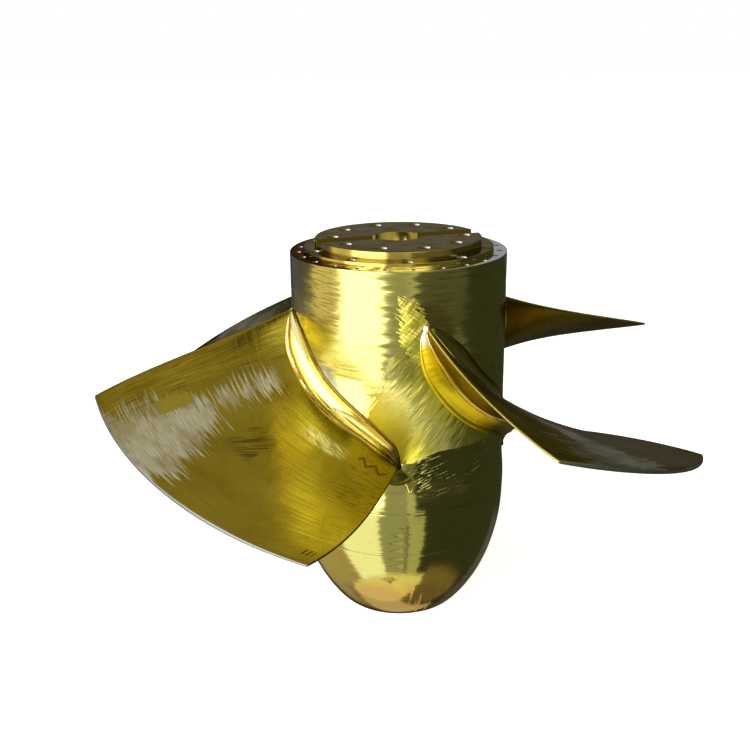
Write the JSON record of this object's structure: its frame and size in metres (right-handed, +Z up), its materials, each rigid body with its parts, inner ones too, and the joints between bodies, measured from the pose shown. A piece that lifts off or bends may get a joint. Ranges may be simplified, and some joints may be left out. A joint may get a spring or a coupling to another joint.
{
  "type": "fixed-blade kaplan-type turbine runner",
  "caption": "Axial-flow water turbine runner: hollow bronze hub with fixed twisted blades in ground root welds, a bored and drilled coupling disc with a key slot, and a blunt runner cone.",
  "frame": {"origin": "centre of the runner cone's flat base, on the floor", "axes": "+Z up the turbine axis to the coupling face; the key slot lies 18.5 degrees anticlockwise of +X seen from above"},
  "size_m": [1.161, 1.161, 0.7595],
  "materials": {
    "polished_bronze": "turned and polished",
    "brushed_bronze": "brushed along the chord",
    "ground_bronze": "hand ground and polished weld",
    "machined_bronze": "faced and drilled, dull",
    "steel": "dull"
  },
  "bodies": {
    "root": {"hub_barrel": "polished_bronze", "cone_shell": "polished_bronze", "nose_cap": "polished_bronze", "hub_deck": "machined_bronze", "step_ring": "machined_bronze", "coupling_disc": "machined_bronze", "bore_bush": "polished_bronze", "ring_hole_plug": "steel", "blade_1": "brushed_bronze", "blade_2": "brushed_bronze", "blade_3": "brushed_bronze", "blade_4": "brushed_bronze", "root_weld_upper_1": "ground_bronze", "root_weld_upper_2": "ground_bronze", "root_weld_upper_3": "ground_bronze", "root_weld_upper_4": "ground_bronze", "root_weld_lower_1": "ground_bronze", "root_weld_lower_2": "ground_bronze", "root_weld_lower_3": "ground_bronze", "root_weld_lower_4": "ground_bronze"}
  },
  "joints": []
}
